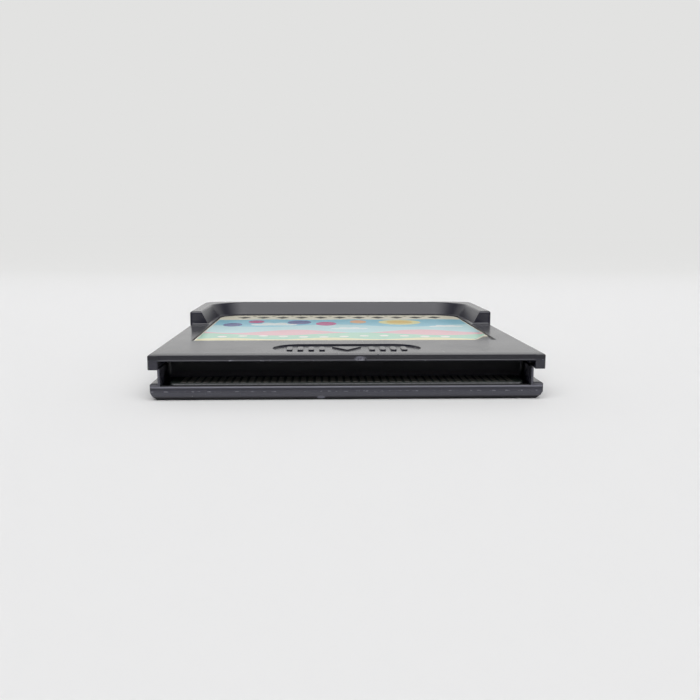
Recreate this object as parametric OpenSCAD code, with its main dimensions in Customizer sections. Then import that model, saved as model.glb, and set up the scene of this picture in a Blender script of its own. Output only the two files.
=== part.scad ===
// Cartridge for a handheld game console: two moulded half shells, held by one
// security screw around a small circuit board, with a label in a shallow pocket.
// All sizes are in millimetres. The connector mouth faces -Y and the label +Z.
// Inside the modules, y is counted from the connector edge (see from_edge).

/* [Body] */
// Width of the front shell, the one that carries the label
body_w = 67; // [66:0.1:68]
// Length from the connector edge to the end of the grip
body_l = 68; // [67:0.1:70]
// Thickness of the thin part that slides into the console
body_t = 7.9; // [7.6:0.1:8.2]
// Height of the joint between the two shells
joint_z = 5.3; // [5.1:0.1:5.5]
// Width of the rear shell, a little less than the front shell
rear_w = 66.5; // [66:0.1:67]
// Thickness of the roof, which carries the label
roof_t = 1.15; // [1.1:0.05:1.3]
// Thickness of the floor
floor_t = 1.3; // [1.2:0.05:1.4]
// Radius of the two corners at the connector edge, seen from above
front_corner_r = 0.4; // [0.3:0.05:1]
// Radius of the two corners at the grip end, seen from above
back_corner_r = 3.5; // [2.5:0.1:5]
// Radius of the soft edges along the two sides of the label face
edge_r = 0.55; // [0.3:0.05:0.6]
// Length over which the label face rolls off towards the connector edge
roll_l = 2; // [1:0.1:2.5]
// Slope at the end of that roll-off, in degrees
roll_slope = 8; // [2:0.5:10]
// Radius of the tight edge where the label face meets the front face
front_edge_r = 0.2; // [0.1:0.05:0.3]

/* [Grip] */
// Thickness of the whole cartridge at the raised grip
grip_t = 10.85; // [10:0.05:12]
// Distance from the connector edge to the two ends of the grip
grip_y = 43; // [38:0.5:46]
// Width of the raised wall along the sides, at half its height
grip_wall = 3.3; // [3.2:0.1:3.6]
// Width of the raised wall across the end, at half its height
grip_end_wall = 2.6; // [2.5:0.1:3]
// Lean of the wall's inner face from upright, in degrees
grip_lean = 27; // [20:1:30]
// Inner corner radius of the raised wall, at half its height
grip_inner_r = 7.3; // [7.2:0.1:9]
// Radius of the foot of the raised wall
grip_foot_r = 0.5; // [0.3:0.05:0.6]
// Radius of the top edges of the raised wall
grip_edge_r = 0.55; // [0.4:0.05:0.6]

/* [Label] */
// Width of the label pocket
pocket_w = 57.9; // [56:0.1:58]
// Front end of the label pocket
pocket_y = 17.3; // [16:0.1:20]
// Length of the label pocket
pocket_l = 46.8; // [43:0.1:46.9]
// Radius of the two corners of the pocket at the grip end
pocket_r = 6; // [4:0.1:7]
// Depth of the label pocket
pocket_depth = 0.3; // [0.2:0.05:0.4]
// Thickness of the label
label_t = 0.15; // [0.1:0.05:0.2]
// Gap between the label and the edge of its pocket
label_gap = 0.25; // [0.1:0.05:0.5]
// Length of the label corner that is cut away, along X
label_cut_x = 4; // [0.5:0.5:8]
// Length of the label corner that is cut away, along Y
label_cut_y = 6.5; // [0.5:0.5:8]

/* [Oval recess] */
// Width of the recess between the label and the connector edge
oval_w = 26.2; // [22:0.2:30]
// Length of the recess along Y
oval_l = 9.4; // [7:0.2:10]
// Distance from the connector edge to the middle of the recess
oval_y = 7.4; // [6.8:0.1:9.5]
// Depth of the recess
oval_depth = 0.3; // [0.2:0.05:0.4]

/* [Connector mouth] */
// Height of the lip below the mouth
lip_z = 2.5; // [2.3:0.05:2.7]
// Thickness of that lip
lip_t = 1.1; // [0.9:0.05:1.15]
// Height of the rails beside the mouth, which carry the side grooves
rail_z = 2.75; // [2.6:0.05:3]
// Half width at the floor of the side grooves
groove_x = 31.85; // [31.75:0.05:31.9]
// Thickness of the walls beside the mouth
mouth_wall = 0.35; // [0.3:0.05:0.45]
// Thickness of the front shell's flanges above the grooves
flange_t = 1.75; // [1.65:0.05:1.8]
// How far the front end of the right wall is bent in, as worn in use
right_bend = 0.4; // [0:0.05:0.5]
// Length of that bent end
right_bend_l = 6; // [3:0.5:8]
// How far the walls stand up inside the flanges
lap = 0.15; // [0.1:0.05:0.5]
// Depth of the wide chamber behind the mouth
chamber_l = 8.4; // [8.2:0.1:10]
// Distance from the connector edge to the rib that clamps the board
clamp_y = 6.6; // [6:0.1:7]
// Height at which the lower edge of the rear shell begins to slope in
keel_top = 1.6; // [1.4:0.05:1.8]
// Height at which that slope becomes flatter
keel_mid = 0.75; // [0.5:0.05:1]
// How far the edge has sloped in there
keel_mid_in = 0.35; // [0.2:0.05:0.5]
// How far it has sloped in at the bottom
keel_in = 1.05; // [0.8:0.05:1.2]
// Radius of the soft upper edges of the lip and the rails
mouth_r = 0.25; // [0.1:0.05:0.3]
// Depth of the shallow step in the front face above the rim of the mouth
rim_step = 0.1; // [0.05:0.01:0.15]
// Height of that rim
rim_h = 0.12; // [0.1:0.01:0.3]

/* [Circuit board] */
// Width of the board
board_w = 60.4; // [59:0.1:61]
// Length of the board
board_l = 42; // [40:0.5:44]
// Thickness of the board
board_t = 1.2; // [1:0.1:1.2]
// Distance from the connector edge to the contacts' end of the board
board_y = 1.2; // [1.15:0.05:1.6]
// Height of the board's lower face
board_z = 1.65; // [1.5:0.05:1.65]
// Length of the slopes at the contacts' end of the board
board_nose_l = 0.5; // [0.2:0.05:0.8]
// Depth of those slopes
board_nose_h = 0.35; // [0.2:0.05:0.4]
// Number of contacts
contact_count = 45; // [40:1:46]
// Distance from contact to contact
contact_pitch = 1.27; // [1.2:0.01:1.27]
// Width of one contact
contact_w = 0.85; // [0.6:0.05:0.95]
// Length of one contact
contact_l = 7.5; // [5:0.5:9]
// Thickness of the plated copper
copper_t = 0.05; // [0.04:0.01:0.1]

/* [Memory chip] */
// Length of the moulded package along X
chip_l = 18.4; // [18:0.1:19]
// Width of the moulded package along Y
chip_w = 8.4; // [7.5:0.1:9]
// Thickness of the moulded package
chip_t = 2.2; // [1.8:0.1:2.6]
// Distance from the connector edge to the middle of the package
chip_y = 19; // [17:0.5:20]
// Number of leads, half of them on each long side
lead_count = 28; // [24:2:28]
// Distance from lead to lead
lead_pitch = 1.27; // [1.2:0.01:1.27]
// Width of one lead
lead_w = 0.42; // [0.3:0.02:0.5]
// Thickness of one lead
lead_t = 0.18; // [0.12:0.02:0.2]

/* [Screw] */
// Distance from the connector edge to the screw
screw_y = 34; // [33:0.5:35]
// Diameter of the screw's head
head_d = 5; // [4.5:0.1:5.4]
// Height of the screw's head
head_h = 1.5; // [1.2:0.1:1.6]
// Diameter of the shank
shank_d = 2.6; // [2.4:0.1:2.8]

/* [Hidden] */
// Steps in a quarter of a small round edge, and the clearance of inner pieces
ROUND_STEPS = 5;
clear = 0.05;
eps = 0.01;
over = 1;
half_w = body_w / 2;
roof_z = body_t - roof_t;
board_top = board_z + board_t;
pocket_floor = body_t - pocket_depth;

// Inside of the raised wall, at half its height, and how far its inner face leans
// outwards over that half
well_x = half_w - grip_wall;
well_y = body_l - grip_end_wall;
well_mid_z = (body_t + grip_t) / 2;
well_lean = (grip_t - body_t) / 2 * tan(grip_lean);
horn_corner_r = 0.6;

// Side walls, their inner faces and the inside of the grip end
flange_x = half_w - flange_t;
mouth_x = groove_x - mouth_wall;
rib_x = mouth_x - right_bend - clear;
tray_x = 30.9;
tray_back_x = 31.9;
tray_step_y = grip_y + 1.5;
back_wall_t = 1.5;
back_y = body_l - back_wall_t;
rear_l = body_l - (body_w - rear_w) / 2;
core_w = 0.85;
core_skin = 1;
core_top = grip_t - 1.4;
core_l = 9;
side_core_y = grip_y + 3;
side_core_l = 7;
core_gap = 1;
tab_h = 0.9;
tab_t = 0.7;
tab_x = 25.5;
tab_w = 3;
inner_corner_r = 1.5;

// How far the flat plate and the floor of the well run on inside the raised wall
plate_run = 4;
well_run = 0.5;

// Screw well, posts and sockets
well_d = 6.2;
well_top = 2.4;
rear_boss_d = 8.6;
rear_boss_top = 3.2;
front_boss_d = 6;
pilot_top = 6.4;
shank_end_gap = 0.2;
shank_hole_d = 3.2;
post_x = 25.5;
post_y = 31;
post_d = 2.4;
post_top = 4.8;
socket_d = 4.4;
socket_bore_d = 2.8;
socket_z = 3.4;
foot_x = 26.5;
foot_y = 40.5;
foot_d = 3;
rib_t = 0.8;
rib_xs = [8, 20];
bar_t = 1.2;
floor_bar_y = screw_y - 8;

// Holes and notches of the board
board_screw_d = 9.4;
board_post_d = 3;
notch_r = 1.5;
notch_y = 25;
board_corner = 0.8;

// Gate scar on the front face, nick in the edge beside it, and the gate's mark under
// the lip of the rear shell: x of the middle, width and depth
scar = [2, 2.1, 0.12];
scar_drop = 0.75;
edge_nick = [5, 0.8, 0.3];
edge_nick_lean = 35;
lower_mark = [-4.6, 1.5, 0.25];
lower_mark_lean = 22;

// The label's worn corner ends in a narrow tip this far from its side
label_tip = 0.7;

// Body of a small chip part, as for the common 2.0 by 1.25 mm size, and its place
chip_part_l = 2;
chip_part_w = 1.25;
capacitor_h = 0.8;
resistor_h = 0.5;
chip_part_x = 14;

// Dimple beside the first lead, and its distances from the package's sides
dimple_d = 1.2;
dimple_x = 1.6;
dimple_y = 1.8;
dimple_depth = 0.1;

// Gull-wing leads: shoulder, slope and foot
stand_off = 0.1;
chip_z = board_top + stand_off;
lead_z = chip_z + chip_t / 2;
shoulder_l = 0.5;
slope_l = 0.35;
lead_foot_l = 0.8;
leads_per_side = lead_count / 2;

SHELL = "#34343b";
SHELL_REAR = "#2f2f36";
PAPER = "#cfe3e4";
BOARD = "#3f6b3a";
GOLD = "#c9a85a";
TIN = "#b9bcc0";
EPOXY = "#1d1d20";
CERAMIC = "#a68a64";
STEEL = "#8d9096";

function two_digits(i) = str(i < 10 ? "0" : "", i);

function lead_name(i) = str("rom_lead_", two_digits(i));

function arc(cx, cy, r, a0, a1) =
    [for (i = [0 : ROUND_STEPS])
        let (a = a0 + (a1 - a0) * i / ROUND_STEPS)
        [cx + r * cos(a), cy + r * sin(a)]];

// Moves a piece so that its y is counted from the connector edge
module from_edge() {
    translate([0, -body_l / 2, 0])
        children();
}

module both_sides() {
    children();
    mirror([1, 0, 0])
        children();
}

// A box that is centred on X and given by its y and z limits
module bar(half_x, y0, y1, z0, z1) {
    translate([-half_x, y0, z0])
        cube([2 * half_x, y1 - y0, z1 - z0]);
}

// A box on one side, given by its x, y and z limits
module block(x0, x1, y0, y1, z0, z1) {
    translate([x0, y0, z0])
        cube([x1 - x0, y1 - y0, z1 - z0]);
}

// A box like bar, with round corners at the grip end
module tray(half_x, y0, y1, z0, z1) {
    r = inner_corner_r;
    translate([0, 0, z0])
        linear_extrude(z1 - z0) {
            translate([-half_x, y0])
                square([2 * half_x, y1 - r - y0]);
            translate([-(half_x - r), y1 - r - eps])
                square([2 * (half_x - r), r + eps]);
            for (side = [-1, 1])
                translate([side * (half_x - r), y1 - r])
                    circle(r = r, $fn = 48);
        }
}

// What a round upper edge along X takes away from a square corner at y and z
module edge_cut(x0, x1, y, z, r) {
    translate([x0, y, z])
        rotate([90, 0, 90])
            linear_extrude(x1 - x0)
                polygon(concat([[-eps, -r], [-eps, eps], [r, eps]], arc(r, -r, r, 90, 180)));
}

module post(x, y, d, z0, z1) {
    translate([x, y, z0])
        cylinder(d = d, h = z1 - z0, $fn = 48);
}

// A turned corner with a soft upper edge
module soft_corner(x, y, r, z0, z1, edge) {
    translate([x, y, 0])
        rotate_extrude($fn = 32)
            polygon(concat([[0, z0], [r, z0]], arc(r - edge, z1 - edge, edge, 0, 90), [[0, z1]]));
}

// A plate with round corners and a soft upper edge
module soft_plate(w, y0, y1, r0, r1, z0, z1, edge) {
    hull()
        both_sides() {
            soft_corner(w / 2 - r0, y0 + r0, r0, z0, z1, edge);
            soft_corner(w / 2 - r1, y1 - r1, r1, z0, z1, edge);
        }
}

// Plan from the connector edge to y1, with its two small front corners
module plan(w, y1) {
    r = front_corner_r;
    translate([-w / 2, r])
        square([w, y1 - r]);
    translate([r - w / 2, 0])
        square([w - 2 * r, r + eps]);
    for (side = [-1, 1])
        translate([side * (w / 2 - r), r])
            circle(r = r, $fn = 32);
}

// The flat part of the front shell, as what three prisms have in common: the plan,
// the section across X with soft side edges, and the section along Y with its
// roll-off, its tight front edge and the shallow step above the rim of the mouth
module face_plate(y1) {
    roll_r = roll_l / sin(roll_slope);
    drop = roll_r * (1 - cos(roll_slope));
    tight_y = front_edge_r * (1 - sin(roll_slope));
    tight_z = body_t - drop - front_edge_r * cos(roll_slope);
    intersection() {
        translate([0, 0, joint_z])
            linear_extrude(body_t - joint_z)
                plan(body_w, y1);
        translate([0, y1, 0])
            rotate([90, 0, 0])
                linear_extrude(y1)
                    polygon(concat(
                        [[-half_w, joint_z], [half_w, joint_z]],
                        arc(half_w - edge_r, body_t - edge_r, edge_r, 0, 90),
                        arc(edge_r - half_w, body_t - edge_r, edge_r, 90, 180)));
        translate([-half_w, 0, 0])
            rotate([90, 0, 90])
                linear_extrude(body_w)
                    polygon(concat(
                        [[y1, joint_z], [0, joint_z]],
                        arc(front_edge_r, tight_z, front_edge_r, 180, 90 + roll_slope),
                        arc(roll_l + tight_y, body_t - roll_r, roll_r, 90 + roll_slope, 90),
                        [[y1, body_t]]));
    }
}

// What the shallow step takes away from the front face, above the rim of the mouth
module face_step() {
    rim_z = roof_z + rim_h;
    translate([-flange_x, 0, 0])
        rotate([90, 0, 90])
            linear_extrude(2 * flange_x)
                polygon([[-over, rim_z - over], [0, rim_z], [rim_step, rim_z + rim_step],
                    [rim_step, body_t], [-over, body_t]]);
}

// Half section through the space inside the raised wall. Its face leans outwards
// between a round foot and a soft top edge; half is where the face is halfway up.
module well_section(half) {
    foot_z = body_t + grip_foot_r;
    edge_z = grip_t - grip_edge_r;
    foot_centre = half + (foot_z - well_mid_z) * tan(grip_lean) - grip_foot_r / cos(grip_lean);
    edge_centre = half + (edge_z - well_mid_z) * tan(grip_lean) + grip_edge_r / cos(grip_lean);
    polygon(concat(
        [[0, joint_z - over], [foot_centre, joint_z - over]],
        arc(foot_centre, foot_z, grip_foot_r, -90, -grip_lean),
        arc(edge_centre, edge_z, grip_edge_r, 180 - grip_lean, 90),
        [[edge_centre, grip_t + over], [0, grip_t + over]]));
}

// The space inside the raised wall: two straight runs, a back run and two corners
module grip_well() {
    r = grip_inner_r;
    both_sides()
        translate([0, grip_y - over, 0])
            rotate([90, 0, 180])
                mirror([1, 0, 0])
                    linear_extrude(well_y - r - grip_y + over)
                        well_section(well_x);
    both_sides()
        translate([0, well_y - r, 0])
            rotate([90, 0, 90])
                linear_extrude(well_x - r)
                    well_section(r);
    both_sides()
        translate([well_x - r, well_y - r, 0])
            rotate_extrude(angle = 90, $fn = 64)
                well_section(r);
}

// The small round foot in front of each end of the raised wall
module horn_foot() {
    translate([well_x - well_lean, grip_y, body_t])
        rotate([90, 0, 90])
            linear_extrude(half_w - well_x + well_lean - edge_r)
                polygon(concat([[horn_corner_r, -edge_r], [-grip_foot_r, -edge_r]],
                    arc(-grip_foot_r, grip_foot_r, grip_foot_r, -90, 0),
                    [[horn_corner_r, grip_foot_r]]));
}

// The raised U of the grip, with its outer walls down to the joint
module grip_wall_solid() {
    difference() {
        union() {
            soft_plate(body_w, grip_y, body_l, horn_corner_r, back_corner_r,
                joint_z, grip_t, grip_edge_r);
            both_sides()
                horn_foot();
        }
        grip_well();
    }
}

// Outline of the pocket, or of the label when gap is above zero
module pocket_outline(gap) {
    x = pocket_w / 2 - gap;
    y0 = pocket_y + gap;
    y1 = pocket_y + pocket_l - gap;
    r = pocket_r - gap;
    translate([-x, y0])
        square([2 * x, y1 - r - y0]);
    translate([-(x - r), y1 - r - eps])
        square([2 * (x - r), r + eps]);
    for (side = [-1, 1])
        translate([side * (x - r), y1 - r])
            circle(r = r, $fn = 96);
}

module oval_recess() {
    reach = (oval_w - oval_l) / 2;
    translate([0, oval_y, body_t - oval_depth])
        linear_extrude(oval_depth + over) {
            square([2 * reach, oval_l], center = true);
            for (side = [-1, 1])
                translate([side * reach, 0])
                    circle(d = oval_l, $fn = 96);
        }
}

// Ragged scar of the cut-off gate in the front face, as five small cuts that each
// turn another way, and the nick in the edge beside it
module gate_scar() {
    chip_h = 4 * scar[2];
    for (k = [-2 : 2])
        translate([scar[0] + k * scar[1] / 5, rim_step,
            body_t - scar_drop + scar[2] * sin(140 * k)])
            rotate([25 * cos(110 * k), 20 * sin(95 * k), 45 + 12 * k])
                cube([2 * scar[2], 2 * scar[2], chip_h], center = true);
    translate([edge_nick[0], 0, body_t])
        rotate([edge_nick_lean, 0, 0])
            rotate([0, 45, 0])
                cube([edge_nick[1] / sqrt(2), 2 * edge_nick[2], edge_nick[1] / sqrt(2)],
                    center = true);
}

// Slots that core out the thick raised wall from inside, with ribs between them
module grip_cores() {
    core_x = flange_x - core_w;
    core_y = body_l - core_skin - core_w;
    both_sides()
        for (k = [0 : 1])
            translate([0, side_core_y + k * (side_core_l + core_gap), 0])
                block(core_x, flange_x, 0, side_core_l, roof_z - over, core_top);
    for (k = [-2 : 2])
        translate([k * (core_l + core_gap), 0, 0])
            bar(core_l / 2, core_y, core_y + core_w, joint_z - over, core_top);
}

// Ribs, bosses and sockets inside the front shell
module front_inner_parts() {
    bar(rib_x, clamp_y, clamp_y + bar_t, board_top + copper_t + clear, roof_z + eps);
    difference() {
        post(0, screw_y, front_boss_d, rear_boss_top, roof_z + eps);
        post(0, screw_y, shank_d, rear_boss_top - over, pilot_top);
    }
    both_sides() {
        difference() {
            post(post_x, post_y, socket_d, socket_z, roof_z + eps);
            post(post_x, post_y, socket_bore_d, socket_z - over, roof_z - clear);
        }
        post(foot_x, foot_y, foot_d, board_top + clear, roof_z + eps);
        for (x = rib_xs)
            block(x, x + rib_t, foot_y + 6, back_y - 4, roof_z - rib_t, roof_z + eps);
    }
    both_sides()
        block(tab_x, tab_x + tab_w, back_y - tab_t - clear, back_y - clear, joint_z - tab_h,
            roof_z + eps);
}

module front_shell() {
    color(SHELL)
        from_edge() {
            difference() {
                union() {
                    face_plate(grip_y + plate_run);
                    bar(well_x + well_run, grip_y + over, well_y + well_run, joint_z, body_t);
                    grip_wall_solid();
                }
                face_step();
                translate([0, 0, pocket_floor])
                    linear_extrude(pocket_depth + over)
                        pocket_outline(0);
                oval_recess();
                tray(flange_x, -over, back_y, joint_z - over, roof_z);
                grip_cores();
                gate_scar();
            }
            front_inner_parts();
        }
}

// Floor ribs, screw boss and posts inside the rear shell
module rear_inner_parts() {
    floor_z = floor_t - eps;
    post(0, screw_y, rear_boss_d, floor_z, rear_boss_top);
    both_sides() {
        post(post_x, post_y, post_d, floor_z, post_top);
        post(post_x, post_y, socket_d, floor_z, board_z);
        post(foot_x, foot_y, foot_d, floor_z, board_z);
    }
    for (y = [clamp_y, floor_bar_y])
        bar(tray_x + eps, y, y + bar_t, floor_z, board_z);
}

// A turned corner of the rear shell, whose lower edge slopes in twice
module sloped_corner(x, y, r) {
    translate([x, y, 0])
        rotate_extrude($fn = 32)
            polygon([[0, 0], [r - keel_in, 0], [r - keel_mid_in, keel_mid], [r, keel_top],
                [r, joint_z + lap], [0, joint_z + lap]]);
}

// The rear shell before it is hollowed: a long tray with turned corners, cut off at
// the connector edge along the same two slopes and the small front corners
module rear_block() {
    r = back_corner_r;
    top = joint_z + lap;
    intersection() {
        hull()
            both_sides() {
                sloped_corner(rear_w / 2 - r, rear_l - r, r);
                sloped_corner(rear_w / 2 - r, -r, r);
            }
        translate([-half_w, 0, 0])
            rotate([90, 0, 90])
                linear_extrude(body_w)
                    polygon([[keel_in, 0], [keel_mid_in, keel_mid], [0, keel_top], [0, top + over],
                        [body_l, top + over], [body_l, 0]]);
        linear_extrude(top)
            plan(rear_w, body_l);
    }
}

// The thin wall beside the right half of the mouth, its front end bent inwards
module bent_wall() {
    translate([0, 0, floor_t])
        linear_extrude(joint_z + lap - floor_t)
            polygon([[mouth_x - right_bend, 0], [groove_x - right_bend, 0],
                [groove_x, right_bend_l], [mouth_x, right_bend_l]]);
}

// The mark of the gate under the lip, where the lower edge slopes in less
module lower_gate_mark() {
    translate([lower_mark[0], 0, 0])
        rotate([lower_mark_lean, 0, 0])
            cube([lower_mark[1], 2 * lower_mark[2], 2 * keel_mid], center = true);
}

module rear_shell() {
    top = joint_z + over;
    color(SHELL_REAR)
        from_edge()
            difference() {
                union() {
                    difference() {
                        rear_block();
                        bar(mouth_x, -over, lip_t + eps, lip_z, top);
                        bar(mouth_x, lip_t, chamber_l, floor_t, top);
                        bar(tray_x, lip_t, tray_step_y, floor_t, top);
                        tray(tray_back_x, tray_step_y, back_y, floor_t, top);
                        both_sides()
                            block(groove_x, half_w + over, -over, grip_y, rail_z, top);
                        block(mouth_x - eps, groove_x + eps, -over, right_bend_l, rail_z, top);
                        edge_cut(-mouth_x, mouth_x, 0, lip_z, mouth_r);
                        both_sides()
                            edge_cut(groove_x, half_w, 0, rail_z, mouth_r);
                    }
                    bent_wall();
                    rear_inner_parts();
                }
                both_sides()
                    block(flange_x - clear, half_w + over, -over, body_l, joint_z, top);
                bar(half_w, grip_y + 1, body_l, joint_z, top);
                lower_gate_mark();
                post(0, screw_y, well_d, -over, well_top);
                post(0, screw_y, shank_hole_d, -over, rear_boss_top + over);
            }
}

// Paper label with one corner cut away, as worn in use
module label() {
    x = pocket_w / 2 - label_gap;
    y = pocket_y + label_gap;
    color(PAPER)
        from_edge()
            translate([0, 0, pocket_floor])
                linear_extrude(label_t)
                    difference() {
                        pocket_outline(label_gap);
                        polygon([[x - label_cut_x, y - over], [x - label_cut_x, y],
                            [x - label_tip, y + label_cut_y], [x + over, y + label_cut_y],
                            [x + over, y - over]]);
                    }
}

module circuit_board() {
    color(BOARD)
        from_edge()
            difference() {
                translate([-board_w / 2, board_y, board_z])
                    rotate([90, 0, 90])
                        linear_extrude(board_w)
                            polygon([[0, board_nose_h], [board_nose_l, 0], [board_l, 0],
                                [board_l, board_t], [board_nose_l, board_t],
                                [0, board_t - board_nose_h]]);
                post(0, screw_y, board_screw_d, board_z - over, board_top + over);
                both_sides() {
                    post(post_x, post_y, board_post_d, board_z - over, board_top + over);
                    post(board_w / 2, notch_y, 2 * notch_r, board_z - over, board_top + over);
                    translate([board_w / 2, board_y, board_z])
                        rotate(45)
                            cube([board_corner * sqrt(2), board_corner * sqrt(2), 3 * board_t],
                                center = true);
                }
            }
}

module edge_contacts() {
    first_x = -(contact_count - 1) / 2 * contact_pitch;
    color(GOLD)
        from_edge()
            for (i = [0 : contact_count - 1])
                translate([first_x + i * contact_pitch - contact_w / 2, board_y + board_nose_l,
                    board_top])
                    cube([contact_w, contact_l, copper_t]);
}

// Moulded package with the slope of its mould above and below the leads
module rom_package() {
    slope = 0.25;
    half = chip_w / 2;
    color(EPOXY)
        from_edge()
            difference() {
                translate([-chip_l / 2, chip_y, lead_z])
                    rotate([90, 0, 90])
                        linear_extrude(chip_l)
                            polygon([[-half, 0], [-half + slope, chip_t / 2],
                                [half - slope, chip_t / 2], [half, 0],
                                [half - slope, -chip_t / 2], [-half + slope, -chip_t / 2]]);
                post(-chip_l / 2 + dimple_x, chip_y - half + dimple_y, dimple_d,
                    chip_z + chip_t - dimple_depth, chip_z + chip_t + over);
            }
}

// One gull-wing lead; the first half of them is on the side of the mouth
module rom_lead(i) {
    near = i <= leads_per_side;
    place = near ? i : i - leads_per_side;
    x = (place - (leads_per_side + 1) / 2) * lead_pitch;
    drop = lead_z - board_top;
    bend = shoulder_l + slope_l;
    color(TIN)
        from_edge()
            translate([x, chip_y, board_top])
                rotate(near ? 180 : 0)
                    translate([-lead_w / 2, chip_w / 2, 0])
                        rotate([90, 0, 90])
                            linear_extrude(lead_w)
                                polygon([[0, drop + lead_t / 2], [shoulder_l, drop + lead_t / 2],
                                    [bend, lead_t], [bend + lead_foot_l, lead_t],
                                    [bend + lead_foot_l, 0], [bend - lead_t, 0],
                                    [shoulder_l - lead_t, drop - lead_t / 2],
                                    [0, drop - lead_t / 2]]);
}

// A small chip part: a block with two slightly larger soldered ends
module chip_part(x, y, h) {
    l = chip_part_l;
    w = chip_part_w;
    end_l = l / 5;
    proud = 0.04;
    translate([x, y, board_top]) {
        translate([-l / 2 + end_l, -w / 2, proud])
            cube([l - 2 * end_l, w, h]);
        for (side = [-1, 1])
            translate([side * (l - end_l) / 2, 0, h / 2 + proud])
                cube([end_l, w + 2 * proud, h + 2 * proud], center = true);
    }
}

module capacitor_left() {
    color(CERAMIC)
        from_edge()
            chip_part(-chip_part_x, chip_y - chip_part_l, capacitor_h);
}

module capacitor_right() {
    color(CERAMIC)
        from_edge()
            chip_part(chip_part_x, chip_y - chip_part_l, capacitor_h);
}

module resistor() {
    color(EPOXY)
        from_edge()
            chip_part(chip_part_x, chip_y + chip_part_l, resistor_h);
}

// Security screw: a round flange under a head with six scallops
module security_screw() {
    scallop_d = 1.1;
    scallop_in = 0.3;
    flange_h = 0.4;
    flange_d = head_d + 0.6;
    top_d = head_d - 0.8;
    head_z = well_top - head_h;
    color(STEEL)
        from_edge() {
            difference() {
                post(0, screw_y, top_d, head_z, well_top - flange_h);
                for (k = [0 : 5])
                    translate([0, screw_y, 0])
                        rotate(60 * k)
                            translate([head_d / 2 - scallop_in, 0, head_z - over])
                                cylinder(d = scallop_d, h = head_h + over, $fn = 24);
            }
            post(0, screw_y, flange_d, well_top - flange_h, well_top);
            post(0, screw_y, shank_d, well_top, pilot_top - shank_end_gap);
        }
}

front_shell();
rear_shell();
label();
circuit_board();
edge_contacts();
rom_package();
capacitor_left();
capacitor_right();
resistor();
security_screw();
for (i = [1 : lead_count])
    rom_lead(i);
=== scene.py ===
# %% [markdown]
# This script dresses a game cartridge: two moulded plastic shells around a small
# circuit board, with a paper label in a shallow pocket. The solids come from the
# CAD model, in metres, and stay where they are. Here they get edges that catch the
# light, finishes, the label's print and the marks of use.

# %% Load the model
import math

import bmesh
import bpy
from mathutils import Matrix, Vector


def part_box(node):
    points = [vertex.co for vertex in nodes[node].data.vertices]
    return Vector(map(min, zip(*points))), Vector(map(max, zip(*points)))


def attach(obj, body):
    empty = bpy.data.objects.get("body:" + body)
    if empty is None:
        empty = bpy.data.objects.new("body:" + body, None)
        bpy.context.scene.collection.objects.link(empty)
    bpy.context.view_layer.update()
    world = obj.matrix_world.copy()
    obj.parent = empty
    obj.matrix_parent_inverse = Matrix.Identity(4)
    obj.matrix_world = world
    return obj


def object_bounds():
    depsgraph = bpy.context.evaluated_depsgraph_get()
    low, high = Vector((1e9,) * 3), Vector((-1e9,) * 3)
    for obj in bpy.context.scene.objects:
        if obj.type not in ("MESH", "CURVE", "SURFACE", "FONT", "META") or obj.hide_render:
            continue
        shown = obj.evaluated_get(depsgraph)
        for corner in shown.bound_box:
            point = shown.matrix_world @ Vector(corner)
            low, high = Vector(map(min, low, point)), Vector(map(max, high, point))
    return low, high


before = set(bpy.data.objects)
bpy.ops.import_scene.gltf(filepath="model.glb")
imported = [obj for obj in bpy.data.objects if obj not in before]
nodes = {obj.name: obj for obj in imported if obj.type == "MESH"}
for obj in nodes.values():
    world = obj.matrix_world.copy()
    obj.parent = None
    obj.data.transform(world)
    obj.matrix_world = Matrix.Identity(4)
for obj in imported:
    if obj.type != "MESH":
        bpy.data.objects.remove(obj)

cad_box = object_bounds()
print("loaded", len(nodes), "nodes")

# %% [markdown]
# Real sizes are easiest to read in millimetres, and paint colours as sRGB hex
# values. Blender wants metres and linear light. A unit and a function convert them,
# and a second function turns a point that is counted from the connector edge, as on
# a drawing, into the model's frame.

# %% Units and colours
MM = 0.001
CONNECTOR_EDGE = cad_box[0].y


def linear(hex_value):
    """An sRGB hex value as linear red, green and blue, with a full alpha."""
    channels = [int(hex_value[i:i + 2], 16) / 255 for i in (1, 3, 5)]
    return [c / 12.92 if c <= 0.04045 else ((c + 0.055) / 1.055) ** 2.4 for c in channels] + [1]


def from_edge(x, y, z):
    """A point in millimetres, with y counted from the connector edge, in the model's frame."""
    return Vector((x * MM, y * MM + CONNECTOR_EDGE, z * MM))


print("the connector edge is at y =", round(CONNECTOR_EDGE, 4))

# %% [markdown]
# The camera stands low in front of the connector edge and looks slightly down,
# so the label side is seen at a glancing angle. Its place was worked out from the
# straight edges of the cartridge, whose real sizes are known. It could be aimed
# with a constraint, but three plain angles are easier to read and to change.

# %% Camera
CAMERA_PLACE = from_edge(-4.655, -127.303, 27.763)
CAMERA_YAW = 2.210
CAMERA_PITCH = 8.549
CAMERA_ROLL = 0.154
LENS_MM = 39.602
SENSOR_MM = 36
NEAREST_SEEN = 0.005
FARTHEST_SEEN = 20

lens = bpy.data.cameras.new("camera")
lens.sensor_width = SENSOR_MM
lens.lens = LENS_MM
lens.clip_start = NEAREST_SEEN
lens.clip_end = FARTHEST_SEEN
camera = bpy.data.objects.new("camera", lens)
bpy.context.collection.objects.link(camera)
camera.matrix_world = (
    Matrix.Translation(CAMERA_PLACE)
    @ Matrix.Rotation(-math.radians(CAMERA_YAW), 4, "Z")
    @ Matrix.Rotation(math.radians(90 - CAMERA_PITCH), 4, "X")
    @ Matrix.Rotation(math.radians(CAMERA_ROLL), 4, "Z")
)
bpy.context.scene.camera = camera
bpy.context.scene.view_settings.view_transform = "Standard"
print("camera", round(CAMERA_PLACE.y, 4), "m from the middle, lens", LENS_MM)

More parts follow.
